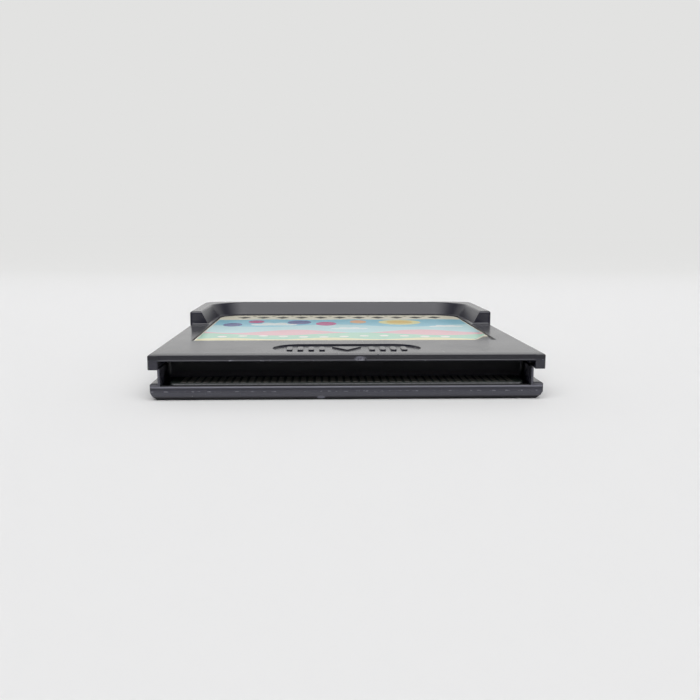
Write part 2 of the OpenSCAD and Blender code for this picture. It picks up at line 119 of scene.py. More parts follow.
# %% [markdown]
# Every material below is a small tree of nodes. One helper adds a node, sets its
# options and fills its inputs, either with a value or with another node's output.
# A second one starts a material with a Principled shader.

# %% Node helper


def node(tree, kind, inputs=None, **settings):
    """Adds a node. An input is a plain value, or the output of another node to link."""
    made = tree.nodes.new(kind)
    for name, value in settings.items():
        setattr(made, name, value)
    for name, value in (inputs or {}).items():
        if isinstance(value, bpy.types.NodeSocket):
            tree.links.new(value, made.inputs[name])
        else:
            made.inputs[name].default_value = value
    return made


def new_material(name, **shader_values):
    """A material with its tree and its shader. Base_Color=... sets the socket Base Color."""
    material = bpy.data.materials.new(name)
    material.use_nodes = True
    tree = material.node_tree
    shader = tree.nodes["Principled BSDF"]
    for socket, value in shader_values.items():
        shader.inputs[socket.replace("_", " ")].default_value = value
    return material, tree, shader


print("helpers ready")

# %% [markdown]
# The photograph was taken on a white sheet that curves up behind the object, so
# floor and background are one surface with no corner. It could be a plane and a
# wall, but those meet in a line. A profile of a floor, a quarter circle and a
# wall, drawn out sideways, gives the soft change of tone that a real sheet has.
# It is wide and long in front, so that a view from behind sees it too.

# %% Floor and backdrop
SHEET_HALF_WIDTH = 4
SHEET_FRONT = -6
SHEET_BEND = 0.42
SHEET_RADIUS = 0.35
SHEET_TOP = 1.2
BEND_STEPS = 24

profile = [(SHEET_FRONT, 0.0)]
for i in range(BEND_STEPS + 1):
    bend = math.radians(90 * i / BEND_STEPS)
    profile.append((SHEET_BEND + SHEET_RADIUS * math.sin(bend), SHEET_RADIUS * (1 - math.cos(bend))))
profile.append((SHEET_BEND + SHEET_RADIUS, SHEET_TOP))

sheet_points = [(side * SHEET_HALF_WIDTH, y, z) for y, z in profile for side in (-1, 1)]
sheet_faces = [(2 * i, 2 * i + 1, 2 * i + 3, 2 * i + 2) for i in range(len(profile) - 1)]
sheet_mesh = bpy.data.meshes.new("backdrop")
sheet_mesh.from_pydata(sheet_points, [], sheet_faces)
sheet_mesh.polygons.foreach_set("use_smooth", [True] * len(sheet_faces))
backdrop = bpy.data.objects.new("backdrop", sheet_mesh)
bpy.context.collection.objects.link(backdrop)
print("backdrop", len(sheet_faces), "faces")

# %% [markdown]
# The card is matt white. Near the object it is plainly lit, so it keeps the
# shadow. Far away the lamps would leave it darker than the photograph's even
# background, and more light would spoil the object, so there it fades into a
# fixed pale tone, for what the camera sees and for what the plastic mirrors.

# %% White card
CARD_WHITE = "#EAEAEA"
PALE_BACKGROUND = "#E2E2E1"
FADE_START = 0.12
FADE_END = 0.55

card_paint, tree, shader = new_material(
    "white_card_matt", Base_Color=linear(CARD_WHITE), Roughness=0.9, Specular_IOR_Level=0.1)
place = node(tree, "ShaderNodeTexCoord").outputs["Object"]
depth = node(tree, "ShaderNodeSeparateXYZ", {"Vector": place}).outputs["Y"]
far = node(tree, "ShaderNodeMapRange", {"Value": depth, "From Min": FADE_START, "From Max": FADE_END},
           interpolation_type="SMOOTHSTEP").outputs["Result"]
rays = node(tree, "ShaderNodeLightPath").outputs
mirrored = node(tree, "ShaderNodeMath", {0: rays["Is Camera Ray"], 1: rays["Is Glossy Ray"]},
                operation="MAXIMUM").outputs[0]
seen = node(tree, "ShaderNodeMath", {0: mirrored, 1: rays["Is Transmission Ray"]},
            operation="MAXIMUM").outputs[0]
fade = node(tree, "ShaderNodeMath", {0: seen, 1: far}, operation="MULTIPLY").outputs[0]
pale = node(tree, "ShaderNodeEmission", {"Color": linear(PALE_BACKGROUND), "Strength": 1.0})
card = node(tree, "ShaderNodeMixShader",
            {"Fac": fade, 1: shader.outputs["BSDF"], 2: pale.outputs["Emission"]})
tree.links.new(card.outputs["Shader"], tree.nodes["Material Output"].inputs["Surface"])
sheet_mesh.materials.append(card_paint)
print("card fades from", FADE_START, "to", FADE_END, "m behind the middle")

# %% [markdown]
# The photograph's light is one very large soft box, overhead and leaning to the
# front. It shows as the pale gleam on the leaning inner face of the grip and as a
# fine bright line on every upper edge. An area lamp would do, but its hard outline
# shows in the satin plastic, and its light falls off along the floor. So the box is
# painted into the world with soft edges. Two of them are angles in degrees, from the
# front horizon over the top to the back, and one is the distance to either side on a
# sphere of radius 1. Each edge is a pair: where it starts and where it ends.

# %% Soft box
BOX_RADIANCE = 3.1
BOX_RISE = (32, 45)
BOX_FALL = (68, 94)
BOX_SIDE = (0.1, 0.95)

world = bpy.data.worlds.new("soft_box_in_dim_room")
bpy.context.scene.world = world
world.use_nodes = True
tree = world.node_tree
direction = node(tree, "ShaderNodeTexCoord").outputs["Generated"]
axes = node(tree, "ShaderNodeSeparateXYZ", {"Vector": direction}).outputs
to_front = node(tree, "ShaderNodeMath", {0: axes["Y"], 1: -1.0}, operation="MULTIPLY").outputs[0]
over_front = node(tree, "ShaderNodeMath", {0: axes["Z"], 1: to_front}, operation="ARCTAN2").outputs[0]
sideways = node(tree, "ShaderNodeMath", {0: axes["X"]}, operation="ABSOLUTE").outputs[0]

box = BOX_RADIANCE
for value, start, end, before, after in (
        (over_front, math.radians(BOX_RISE[0]), math.radians(BOX_RISE[1]), 0.0, 1.0),
        (over_front, math.radians(BOX_FALL[0]), math.radians(BOX_FALL[1]), 1.0, 0.0),
        (sideways, BOX_SIDE[0], BOX_SIDE[1], 1.0, 0.0)):
    soft_edge = node(tree, "ShaderNodeMapRange",
                     {"Value": value, "From Min": start, "From Max": end,
                      "To Min": before, "To Max": after},
                     interpolation_type="SMOOTHSTEP").outputs["Result"]
    box = node(tree, "ShaderNodeMath", {0: box, 1: soft_edge}, operation="MULTIPLY").outputs[0]
print("soft box from", BOX_RISE, "to", BOX_FALL, "degrees over the front horizon")

# %% [markdown]
# The room around the box is dim, and a little blue near the horizon, which keeps the
# upright faces dark and cool. Where the camera looks past the sheet it sees the same
# pale tone as on the sheet, so that no view has a dark horizon. A small lamp right
# overhead sharpens the shadow a little.

# %% Room and overhead lamp
ROOM_LOW = 0.12
ROOM_HIGH = 0.26
ROOM_RISE = (0.05, 0.7)
COOL_HORIZON = "#DCDCFF"
NEUTRAL_SKY = "#FFFFFF"
COOL_RISE = (0.05, 0.45)
LAMP_WIDTH = 0.5
LAMP_DEPTH = 0.3
LAMP_PLACE = (0.0, -0.02, 0.8)
LAMP_WATTS = 0.5

room = node(tree, "ShaderNodeMapRange",
            {"Value": axes["Z"], "From Min": ROOM_RISE[0], "From Max": ROOM_RISE[1],
             "To Min": ROOM_LOW, "To Max": ROOM_HIGH}).outputs["Result"]
level = node(tree, "ShaderNodeMath", {0: box, 1: room}, operation="ADD").outputs[0]
skyward = node(tree, "ShaderNodeMapRange",
               {"Value": axes["Z"], "From Min": COOL_RISE[0], "From Max": COOL_RISE[1]}).outputs["Result"]
cool = node(tree, "ShaderNodeMix", {"Factor": skyward, "A": linear(COOL_HORIZON), "B": linear(NEUTRAL_SKY)},
            data_type="RGBA").outputs["Result"]
to_camera = node(tree, "ShaderNodeLightPath").outputs["Is Camera Ray"]
tint = node(tree, "ShaderNodeMix", {"Factor": to_camera, "A": cool, "B": linear(PALE_BACKGROUND)},
            data_type="RGBA").outputs["Result"]
strength = node(tree, "ShaderNodeMix", {"Factor": to_camera, "A": level, "B": 1.0}).outputs["Result"]
background = tree.nodes["Background"]
tree.links.new(tint, background.inputs["Color"])
tree.links.new(strength, background.inputs["Strength"])

light = bpy.data.lights.new("lamp_overhead", "AREA")
light.shape = "RECTANGLE"
light.size = LAMP_WIDTH
light.size_y = LAMP_DEPTH
light.energy = LAMP_WATTS
lamp = bpy.data.objects.new("lamp_overhead", light)
lamp.location = LAMP_PLACE
bpy.context.collection.objects.link(lamp)
print("room from", ROOM_LOW, "to", ROOM_HIGH, "and a lamp of", LAMP_WATTS, "W")

# %% [markdown]
# Use has left its marks on the shells, and some light and shade is painted onto them as
# well. They could be painted by hand, but a mask that is worked out from the distance to
# an edge or a point stays in place when a size changes. A mask is 1 where a mark is and 0
# elsewhere. These three go by place, in millimetres, with y counted from the connector edge.

# %% Masks by place
LINE_CORE = 0.3
POINT_CORE = 0.6


def near_line(tree, place, line, reach):
    """1 on a line along X, given as (y, z), and 0 from reach outwards."""
    flat = node(tree, "ShaderNodeVectorMath", {0: place, 1: (0, 1, 1)}, operation="MULTIPLY")
    centre = from_edge(0, *line)
    gap = node(tree, "ShaderNodeVectorMath", {0: flat.outputs["Vector"], 1: centre}, operation="DISTANCE")
    return node(tree, "ShaderNodeMapRange",
                {"Value": gap.outputs["Value"], "From Min": LINE_CORE * reach * MM,
                 "From Max": reach * MM, "To Min": 1.0, "To Max": 0.0}).outputs["Result"]


def near_point(tree, place, point, reach, squeeze):
    """1 at a point, fading to 0 at reach along X, and squeeze times sooner along Z."""
    away = node(tree, "ShaderNodeVectorMath", {0: place, 1: from_edge(*point)}, operation="SUBTRACT")
    squeezed = node(tree, "ShaderNodeVectorMath", {0: away.outputs["Vector"], 1: (1, 1, squeeze)},
                    operation="MULTIPLY")
    gap = node(tree, "ShaderNodeVectorMath", {0: squeezed.outputs["Vector"]}, operation="LENGTH")
    return node(tree, "ShaderNodeMapRange",
                {"Value": gap.outputs["Value"], "From Min": POINT_CORE * reach * MM,
                 "From Max": reach * MM, "To Min": 1.0, "To Max": 0.0}).outputs["Result"]


def from_middle(tree, place):
    """The distance to either side of the middle plane, in metres."""
    x = node(tree, "ShaderNodeSeparateXYZ", {"Vector": place}).outputs["X"]
    return node(tree, "ShaderNodeMath", {0: x}, operation="ABSOLUTE").outputs[0]


print("masks by place ready")

# %% [markdown]
# Rubbed edges aren't even: they are pale in short dashes, and so are the painted
# highlight lines on edges. Specks of dust and hairline scratches lie anywhere, the
# scratches along the way that the cartridge slides. All three come from noise. A noise is
# 0.5 in the middle and seldom passes 0.7, so a level near 0.7 leaves few dashes, and a
# lower one leaves more.

# %% Masks by noise
DASH_SHAPE = (1, 3, 3)
DASH_EDGE = 0.04
HAIRLINE = (0.7, 0.76)


def broken(tree, place, mask, pitch, level):
    """Breaks a mask up into dashes of about pitch millimetres along X, where noise passes level."""
    stretched = node(tree, "ShaderNodeVectorMath", {0: place, 1: DASH_SHAPE}, operation="MULTIPLY")
    patches = node(tree, "ShaderNodeTexNoise",
                   {"Vector": stretched.outputs["Vector"], "Scale": 1 / (pitch * MM), "Detail": 4.0})
    chosen = node(tree, "ShaderNodeMapRange",
                  {"Value": patches.outputs["Fac"], "From Min": level - DASH_EDGE,
                   "From Max": level + DASH_EDGE})
    return node(tree, "ShaderNodeMath", {0: mask, 1: chosen.outputs["Result"]},
                operation="MULTIPLY").outputs[0]


def dust(tree, place, spacing, size):
    """Sparse specks of the size given, in millimetres, one in every cell of the spacing."""
    cells = node(tree, "ShaderNodeTexVoronoi", {"Vector": place, "Scale": 1 / (spacing * MM)})
    radius = size / spacing / 2
    return node(tree, "ShaderNodeMapRange",
                {"Value": cells.outputs["Distance"], "From Min": radius / 2, "From Max": radius,
                 "To Min": 1.0, "To Max": 0.0}).outputs["Result"]


def scratches(tree, place, across, along):
    """Thin hairlines that run along Y: noise stretched far more one way than the other."""
    squeezed = node(tree, "ShaderNodeVectorMath",
                    {0: place, 1: (1 / (across * MM), 1 / (along * MM), 1 / (along * MM))},
                    operation="MULTIPLY")
    lines = node(tree, "ShaderNodeTexNoise", {"Vector": squeezed.outputs["Vector"], "Scale": 1.0})
    return node(tree, "ShaderNodeMapRange",
                {"Value": lines.outputs["Fac"], "From Min": HAIRLINE[0],
                 "From Max": HAIRLINE[1]}).outputs["Result"]


print("masks by noise ready")

# %% [markdown]
# Marks overlap, so masks are joined in two ways: their sum, cut off at 1, is every
# place that has a mark, and their product is where all of them are. A plain number
# among them makes a mark weaker. Coats of colour then go on one after another.

# %% Joining masks and coats


def where_any(tree, masks):
    """Every place that one of the masks has."""
    total = masks[0]
    for mask in masks[1:]:
        total = node(tree, "ShaderNodeMath", {0: total, 1: mask}, operation="ADD",
                     use_clamp=True).outputs[0]
    return total


def where_all(tree, masks):
    """Only the places that all the masks have."""
    total = masks[0]
    for mask in masks[1:]:
        total = node(tree, "ShaderNodeMath", {0: total, 1: mask}, operation="MULTIPLY").outputs[0]
    return total


def coated(tree, colour, coats):
    """Lays coats over a colour. Each is its mask and its own colour."""
    for mask, coat in coats:
        colour = node(tree, "ShaderNodeMix", {"Factor": mask, "A": colour, "B": coat},
                      data_type="RGBA").outputs["Result"]
    return colour


print("joins ready")

# %% [markdown]
# The shells are ABS, moulded in a spark-eroded steel mould. The grain of the mould
# gives a satin surface: dull when seen square on, but bright at a glancing angle,
# where even rough plastic mirrors what lies behind it. ABS has an IOR of about 1.54,
# and a little more matches the gleam on the grip.
#
# The grain is about 0.05 mm on the real thing and is drawn at 0.15 mm here, because
# finer would not show. The clouds of 9 mm are where hands have polished the plastic
# more or less. A thin grey film on all faces that look up is partly dust and partly a
# painted sheen, which lightens them as a glancing gleam would. Painted shade, darker and
# duller, lies in the corners, and pale coats are partly wear and partly painted highlight.

# %% Tones of the ABS
# Pale coat for real wear, and for painted highlights and painted light
PALE_WEAR_AND_PAINTED_LIGHT = "#70707A"
# Grey of the dust specks, and of the film that is dust and painted sheen
GREY_DUST_AND_SHEEN = "#9A9A98"
# Painted shade: the dark tone laid where shade falls
PAINTED_SHADE_DARK = "#121216"
# Share of the grey film on faces that look up: partly dust, partly painted sheen
DUST_AND_SHEEN_FILM = 0.2
FILM_SLOPE = (0.8, 1.0)
SPECK_SPACING = 5.0
SPECK_SIZE = 0.16


def abs_tone(tree, place, upward, cloud, dark, light, wear_and_painted_light, painted_shade):
    """The plastic's own colour, and over it dust with a painted sheen, painted shade, wear with painted
    highlights and painted light, and specks of dust.
    """
    plastic = node(tree, "ShaderNodeMix", {"Factor": cloud, "A": linear(dark), "B": linear(light)},
                   data_type="RGBA").outputs["Result"]
    # Painted sheen together with dust: lighter the more a face looks up
    film = node(tree, "ShaderNodeMapRange",
                {"Value": upward, "From Min": FILM_SLOPE[0], "From Max": FILM_SLOPE[1],
                 "To Min": 0.0, "To Max": DUST_AND_SHEEN_FILM}).outputs["Result"]
    specks = dust(tree, place, SPECK_SPACING, SPECK_SIZE)
    return coated(tree, plastic, [(film, linear(GREY_DUST_AND_SHEEN)), (painted_shade, linear(PAINTED_SHADE_DARK)),
                                  (wear_and_painted_light, linear(PALE_WEAR_AND_PAINTED_LIGHT)), (specks, linear(GREY_DUST_AND_SHEEN))])


print("dust and sheen film", DUST_AND_SHEEN_FILM, "and specks of", SPECK_SIZE, "mm")

# %% [markdown]
# Gloss tells as much as colour. The plain finish is satin, with a roughness of 0.2.
# Hands change it a little, rubbed places, painted highlights, specks and scratches a
# little more, and the places of painted shade are made nearly matt. The leaning inner
# wall of the grip is found by the slope of its face. It gets a coarser finish, which
# spreads its gleam and hides the flat strips that its round corners are made of.

# %% Gloss of the ABS
CLOUD_RANGE = (0.3, 0.7)
POLISH_SPREAD = 0.03
SCRATCH_WIDTH = 0.12
SCRATCH_LENGTH = 14
MARK_ROUGHNESS = 0.12
PAINTED_SHADE_ROUGHNESS = 0.62
LEAN = 0.45
LEAN_RANGE = (0.1, 0.2)
LEAN_ROUGHNESS = 0.1


def leaning_wall(tree, upward):
    """The roughness added where a face leans as the grip's inner wall does."""
    off = node(tree, "ShaderNodeMath", {0: upward, 1: LEAN}, operation="SUBTRACT").outputs[0]
    off = node(tree, "ShaderNodeMath", {0: off}, operation="ABSOLUTE").outputs[0]
    return node(tree, "ShaderNodeMapRange",
                {"Value": off, "From Min": LEAN_RANGE[0], "From Max": LEAN_RANGE[1],
                 "To Min": LEAN_ROUGHNESS, "To Max": 0.0}).outputs["Result"]


def abs_gloss(tree, place, upward, cloud, roughness, wear_and_painted_light, painted_shade):
    """The roughness of the plastic: polished in clouds, and duller where it is marked."""
    polished = node(tree, "ShaderNodeMapRange",
                    {"Value": cloud, "From Min": CLOUD_RANGE[0], "From Max": CLOUD_RANGE[1],
                     "To Min": roughness - POLISH_SPREAD,
                     "To Max": roughness + POLISH_SPREAD}).outputs["Result"]
    marks = where_any(tree, [wear_and_painted_light, dust(tree, place, SPECK_SPACING, SPECK_SIZE),
                             scratches(tree, place, SCRATCH_WIDTH, SCRATCH_LENGTH)])
    marked = node(tree, "ShaderNodeMath", {0: marks, 1: MARK_ROUGHNESS, 2: polished},
                  operation="MULTIPLY_ADD").outputs[0]
    # The places of painted shade are also made nearly matt
    shaded_dull = node(tree, "ShaderNodeMath", {0: painted_shade, 1: PAINTED_SHADE_ROUGHNESS, 2: marked},
                 operation="MULTIPLY_ADD", use_clamp=True).outputs[0]
    return node(tree, "ShaderNodeMath", {0: shaded_dull, 1: leaning_wall(tree, upward)},
                operation="ADD", use_clamp=True).outputs[0]


print("leaning wall rougher by", LEAN_ROUGHNESS)

# %% [markdown]
# Both shells share this material, each with its own tones, wear, painted highlights and
# painted shade. One material with the marks of both would be shorter, but the rear shell
# is painted a little lighter, for the light that its down-facing faces get from the
# floor, and its marks lie on other edges.

# %% Moulded ABS
ABS_IOR = 1.57
GRAIN = 0.15
GRAIN_HEIGHT = 0.01
GRAIN_STRENGTH = 0.12
CLOUD = 9


def moulded_abs(name, dark, light, roughness, wear_and_light_masks, painted_shade_masks):
    """The masks are functions of (tree, place): where the plastic is paled by wear, painted highlight and
    painted light, and where painted shade goes.
    """
    material, tree, shader = new_material(name, IOR=ABS_IOR)
    coordinates = node(tree, "ShaderNodeTexCoord").outputs
    place = coordinates["Object"]
    upward = node(tree, "ShaderNodeSeparateXYZ", {"Vector": coordinates["Normal"]}).outputs["Z"]
    cloud = node(tree, "ShaderNodeTexNoise",
                 {"Vector": place, "Scale": 1 / (CLOUD * MM), "Detail": 4.0}).outputs["Fac"]
    wear_and_painted_light = wear_and_light_masks(tree, place)
    painted_shade = painted_shade_masks(tree, place)
    tone = abs_tone(tree, place, upward, cloud, dark, light, wear_and_painted_light, painted_shade)
    gloss = abs_gloss(tree, place, upward, cloud, roughness, wear_and_painted_light, painted_shade)
    grain = node(tree, "ShaderNodeTexNoise",
                 {"Vector": place, "Scale": 1 / (GRAIN * MM), "Detail": 2.0}).outputs["Fac"]
    bump = node(tree, "ShaderNodeBump",
                {"Height": grain, "Strength": GRAIN_STRENGTH, "Distance": GRAIN_HEIGHT * MM})
    tree.links.new(tone, shader.inputs["Base Color"])
    tree.links.new(gloss, shader.inputs["Roughness"])
    tree.links.new(bump.outputs["Normal"], shader.inputs["Normal"])
    return material


print("ABS grain", GRAIN, "mm, clouds", CLOUD, "mm")

# %% [markdown]
# The pale coats follow the real edges. The rim above the mouth and the top edge get
# painted highlight lines in short dashes, the lip below the mouth a painted highlight all
# along, and the slope under it a little painted light from the floor. The edge at the top
# of that slope, which is pushed into a console again and again, is rubbed pale in short
# dashes. Where the plastic was cut off its gate the torn surface is whitish: just right of
# the middle on the front shell, and just left of it on the rear one.

# %% Wear and painted highlights of the front shell
# The rim and top lines are painted highlights, broken into dashes; the gate mark is wear
RIM_HIGHLIGHT_LINE = (0, 6.87)
TOP_HIGHLIGHT_LINE = (0.1, 7.78)
GATE_MARK = (2.0, 0.0, 7.15)


def front_wear_and_highlights(tree, place):
    rim = broken(tree, place, near_line(tree, place, RIM_HIGHLIGHT_LINE, reach=0.16), pitch=1.6, level=0.675)
    top = broken(tree, place, near_line(tree, place, TOP_HIGHLIGHT_LINE, reach=0.2), pitch=2.5, level=0.71)
    gate = near_point(tree, place, GATE_MARK, reach=1.15, squeeze=2.6)
    return where_any(tree, [rim, top, gate])


print("front shell lightened along", RIM_HIGHLIGHT_LINE, "and", TOP_HIGHLIGHT_LINE)

# %% [markdown]
# The thin walls beside the mouth get painted light as well, most at the entry. They
# stand further out than the mouth, above the rail, so their painted light is the product
# of three masks: how far out, how high, and how near the entry.

# %% Wear, painted highlight and painted light of the rear shell
# The lip line is a painted highlight, the slope gets painted light from the floor, and the keel line and
# the gate mark are wear
LIP_HIGHLIGHT_LINE = (0, 2.38)
SLOPE_LIGHT_LINE = (0.15, 1.05)
SLOPE_LIGHT_SHARE = 0.3
KEEL_LINE = (0, 1.6)
LOWER_GATE_MARK = (-4.6, 0.6, 0.45)
WALL_X = 30.8
WALL_FOOT_Z = 2.6
ENTRY = (2, 7)
ENTRY_LIGHT_SHARE = 0.35


# Painted light on the inner faces of the thin walls at the mouth's entry
def entry_painted_light(tree, place):
    axes = node(tree, "ShaderNodeSeparateXYZ", {"Vector": place}).outputs
    on_wall = node(tree, "ShaderNodeMath", {0: from_middle(tree, place), 1: WALL_X * MM},
                   operation="GREATER_THAN").outputs[0]
    above = node(tree, "ShaderNodeMath", {0: axes["Z"], 1: WALL_FOOT_Z * MM},
                 operation="GREATER_THAN").outputs[0]
    entry = node(tree, "ShaderNodeMapRange",
                 {"Value": axes["Y"], "From Min": from_edge(0, ENTRY[0], 0).y,
                  "From Max": from_edge(0, ENTRY[1], 0).y,
                  "To Min": ENTRY_LIGHT_SHARE, "To Max": 0.0}).outputs["Result"]
    return where_all(tree, [on_wall, entry, above])


def rear_wear_and_painted_light(tree, place):
    lip = near_line(tree, place, LIP_HIGHLIGHT_LINE, reach=0.24)
    slope = where_all(tree, [near_line(tree, place, SLOPE_LIGHT_LINE, reach=0.95), SLOPE_LIGHT_SHARE])
    keel = broken(tree, place, near_line(tree, place, KEEL_LINE, reach=0.1), pitch=1.2, level=0.57)
    gate = near_point(tree, place, LOWER_GATE_MARK, reach=0.8, squeeze=2.0)
    return where_any(tree, [lip, slope, keel, gate, entry_painted_light(tree, place)])


print("rear shell lightened along", LIP_HIGHLIGHT_LINE, "and", KEEL_LINE)

# %% [markdown]
# Painted shade darkens the plastic where shade falls: inside the mouth, in the step of
# the front edge, in the gap between the lip and the board, and under the slope, where the
# cartridge meets what it lies on. The inside mask would reach the outer sides of the
# flanges too, so it ends at the thin walls.

# %% Painted shade on the shells
INSIDE_LINE = (6.6, 4.7)
STEP_LINE = (0, 7.35)
STEP_SHARE = 0.6
GAP_LINE = (0.85, 2.5)
FOOT_LINE = (0.7, 0.3)


# Painted shade inside the mouth and in the step of the front edge
def front_painted_shade(tree, place):
    housed = node(tree, "ShaderNodeMath", {0: from_middle(tree, place), 1: WALL_X * MM},
                  operation="LESS_THAN").outputs[0]
    inside = where_all(tree, [near_line(tree, place, INSIDE_LINE, reach=2.8), housed])
    step = where_all(tree, [near_line(tree, place, STEP_LINE, reach=0.6), STEP_SHARE])
    return where_any(tree, [inside, step])


# Painted shade in the gap under the mouth and along the foot, where the contact shadow falls
def rear_painted_shade(tree, place):
    gap = near_line(tree, place, GAP_LINE, reach=1.1)
    foot = near_line(tree, place, FOOT_LINE, reach=0.7)
    return where_any(tree, [gap, foot])


abs_front = moulded_abs("abs_spark_eroded_front", "#1B1B28", "#232330", roughness=0.2,
                        wear_and_light_masks=front_wear_and_highlights, painted_shade_masks=front_painted_shade)
# The rear shell's tones are painted a little lighter, for the light from the floor on its down-facing faces
abs_rear = moulded_abs("abs_spark_eroded_rear", "#1F1F2C", "#272735", roughness=0.2,
                       wear_and_light_masks=rear_wear_and_painted_light, painted_shade_masks=rear_painted_shade)
print("made", abs_front.name, "and", abs_rear.name)

# %% [markdown]
# The other parts are small, and most are hidden in the housing. One recipe does for
# all: two near tones, mixed by a noise, so that none looks like one flat colour, and
# a bump where the grain can be felt. The real grains are mostly under a tenth of a
# millimetre. They are drawn at 0.15 to 0.6 mm, because finer would not show.

# %% Speckled finish
BUMP_STRENGTH = 0.5


def speckled(name, dark, light, grain_mm, bump_mm=0.0, **shader_values):
    material, tree, shader = new_material(name, **shader_values)
    place = node(tree, "ShaderNodeTexCoord").outputs["Object"]
    noise = node(tree, "ShaderNodeTexNoise",
                 {"Vector": place, "Scale": 1 / (grain_mm * MM), "Detail": 3.0}).outputs["Fac"]
    tint = coated(tree, linear(dark), [(noise, linear(light))])
    tree.links.new(tint, shader.inputs["Base Color"])
    if bump_mm:
        bump = node(tree, "ShaderNodeBump",
                    {"Height": noise, "Strength": BUMP_STRENGTH, "Distance": bump_mm * MM})
        tree.links.new(bump.outputs["Normal"], shader.inputs["Normal"])
    return material


print("speckled finish ready")

# %% [markdown]
# The board is glass-fibre laminate under a dark solder mask. The cut at its bevelled
# front end goes through the mask, so there the bare laminate shows as a pale ragged
# line in the mouth. It could be a part of its own, but it is one piece with the
# board, so a mask by height and depth picks out the cut. The glass fibres are bundles
# of about 0.25 mm, which break the line up.

# %% Board laminate
CUT_DEPTH = 1.72
CUT_FOOT = (2.5, 2.58)
CUT_HEAD = (2.64, 2.76)
FIBRE = 0.25


def board_laminate():
    """Dark solder mask, and bare glass-fibre laminate at the bevelled front end."""
    material = speckled("fr4_laminate_masked", "#1C231F", "#262F2A", grain_mm=0.5, Roughness=0.45)
    tree = material.node_tree
    shader = tree.nodes["Principled BSDF"]
    masked = shader.inputs["Base Color"].links[0].from_socket
    place = node(tree, "ShaderNodeTexCoord").outputs["Object"]
    axes = node(tree, "ShaderNodeSeparateXYZ", {"Vector": place}).outputs
    in_front = node(tree, "ShaderNodeMath", {0: axes["Y"], 1: from_edge(0, CUT_DEPTH, 0).y},
                    operation="LESS_THAN").outputs[0]
    over_foot = node(tree, "ShaderNodeMapRange",
                     {"Value": axes["Z"], "From Min": CUT_FOOT[0] * MM,
                      "From Max": CUT_FOOT[1] * MM}).outputs["Result"]
    under_head = node(tree, "ShaderNodeMapRange",
                      {"Value": axes["Z"], "From Min": CUT_HEAD[0] * MM, "From Max": CUT_HEAD[1] * MM,
                       "To Min": 1.0, "To Max": 0.0}).outputs["Result"]
    bare = where_all(tree, [over_foot, in_front, under_head])
    fibres = node(tree, "ShaderNodeTexNoise",
                  {"Vector": place, "Scale": 1 / (FIBRE * MM), "Detail": 2.0}).outputs["Fac"]
    glass = coated(tree, linear("#28282C"), [(fibres, linear("#96969A"))])
    tree.links.new(coated(tree, masked, [(bare, glass)]), shader.inputs["Base Color"])
    return material


print("bare cut from", CUT_FOOT[0], "to", CUT_HEAD[1], "mm up")

# %% [markdown]
# The label's paper is coated and laminated: cream, with a soft gloss. The contacts
# are copper that was plated with gold over nickel. Years of use have worn the gold
# off, and the pale dull nickel shows. The chip is black moulded epoxy, matt and
# grainy, and its leads are bright where they are tinned. The capacitors are fired
# ceramic, tan and half matt, and the resistor has a black glaze. The screw's zinc is
# a bluish satin grey. Roughness and tones start from what these finishes usually
# have, and the metals keep the shader's own IOR.

# %% Finishes of the parts
FINISHES = {
    "front_shell": abs_front,
    "rear_shell": abs_rear,
    "label": speckled("paper_coated_cream", "#ECE7D0", "#F3EEDC", grain_mm=0.6, Roughness=0.18),
    "circuit_board": board_laminate(),
    "edge_contacts": speckled("copper_nickel_plated_worn", "#8C8A85", "#ACAAA4", grain_mm=0.3,
                              Metallic=1.0, Roughness=0.45),
    "rom_package": speckled("epoxy_moulded_black", "#17171A", "#222226", grain_mm=0.15, bump_mm=0.01,
                            Roughness=0.6),
    "rom_lead": speckled("copper_tin_plated", "#B4B7BC", "#D2D4D8", grain_mm=0.2,
                         Metallic=1.0, Roughness=0.35),
    "capacitor_left": speckled("ceramic_fired_tan", "#96795A", "#B08F6A", grain_mm=0.2, Roughness=0.5),
    "resistor": speckled("ceramic_glazed_black", "#141416", "#202024", grain_mm=0.2, Roughness=0.3),
    "security_screw": speckled("steel_zinc_plated", "#A2A5AB", "#C0C3C8", grain_mm=0.3, bump_mm=0.004,
                               Metallic=1.0, Roughness=0.35),
}
FINISHES["capacitor_right"] = FINISHES["capacitor_left"]

for name, part in nodes.items():
    finish = FINISHES["rom_lead" if name.startswith("rom_lead") else name]
    part.data.materials.clear()
    part.data.materials.append(finish)
print("finished", len(nodes), "nodes")

# %% [markdown]
# A moulded edge is never razor sharp. The solids have the large radii; this step
# adds the small ones, about 0.05 mm, that catch a thin line of light. The triangles
# are first joined into flat faces, because a bevel follows clean edges best. Smooth
# shading would bend the light on the wide faces too, so a last modifier weights each
# face by its size: the wide ones stay flat, and only the small radii look round.

# %% Small edge radii
EDGE_RADIUS = {"front_shell": 0.05, "rear_shell": 0.05, "circuit_board": 0.04, "rom_package": 0.05,
               "security_screw": 0.06}
EDGE_ANGLE = 21
FLAT_ANGLE = 0.5
FLAT_WEIGHT = 50
WELD_GAP = 0.002


def round_edges(part, radius):
    part.data.polygons.foreach_set("use_smooth", [True] * len(part.data.polygons))
    bevel = part.modifiers.new("small_radius", "BEVEL")
    bevel.width = radius * MM
    bevel.segments = 2
    bevel.limit_method = "ANGLE"
    bevel.angle_limit = math.radians(EDGE_ANGLE)
    flat_look = part.modifiers.new("large_faces_look_flat", "WEIGHTED_NORMAL")
    flat_look.mode = "FACE_AREA_WITH_ANGLE"
    flat_look.weight = FLAT_WEIGHT


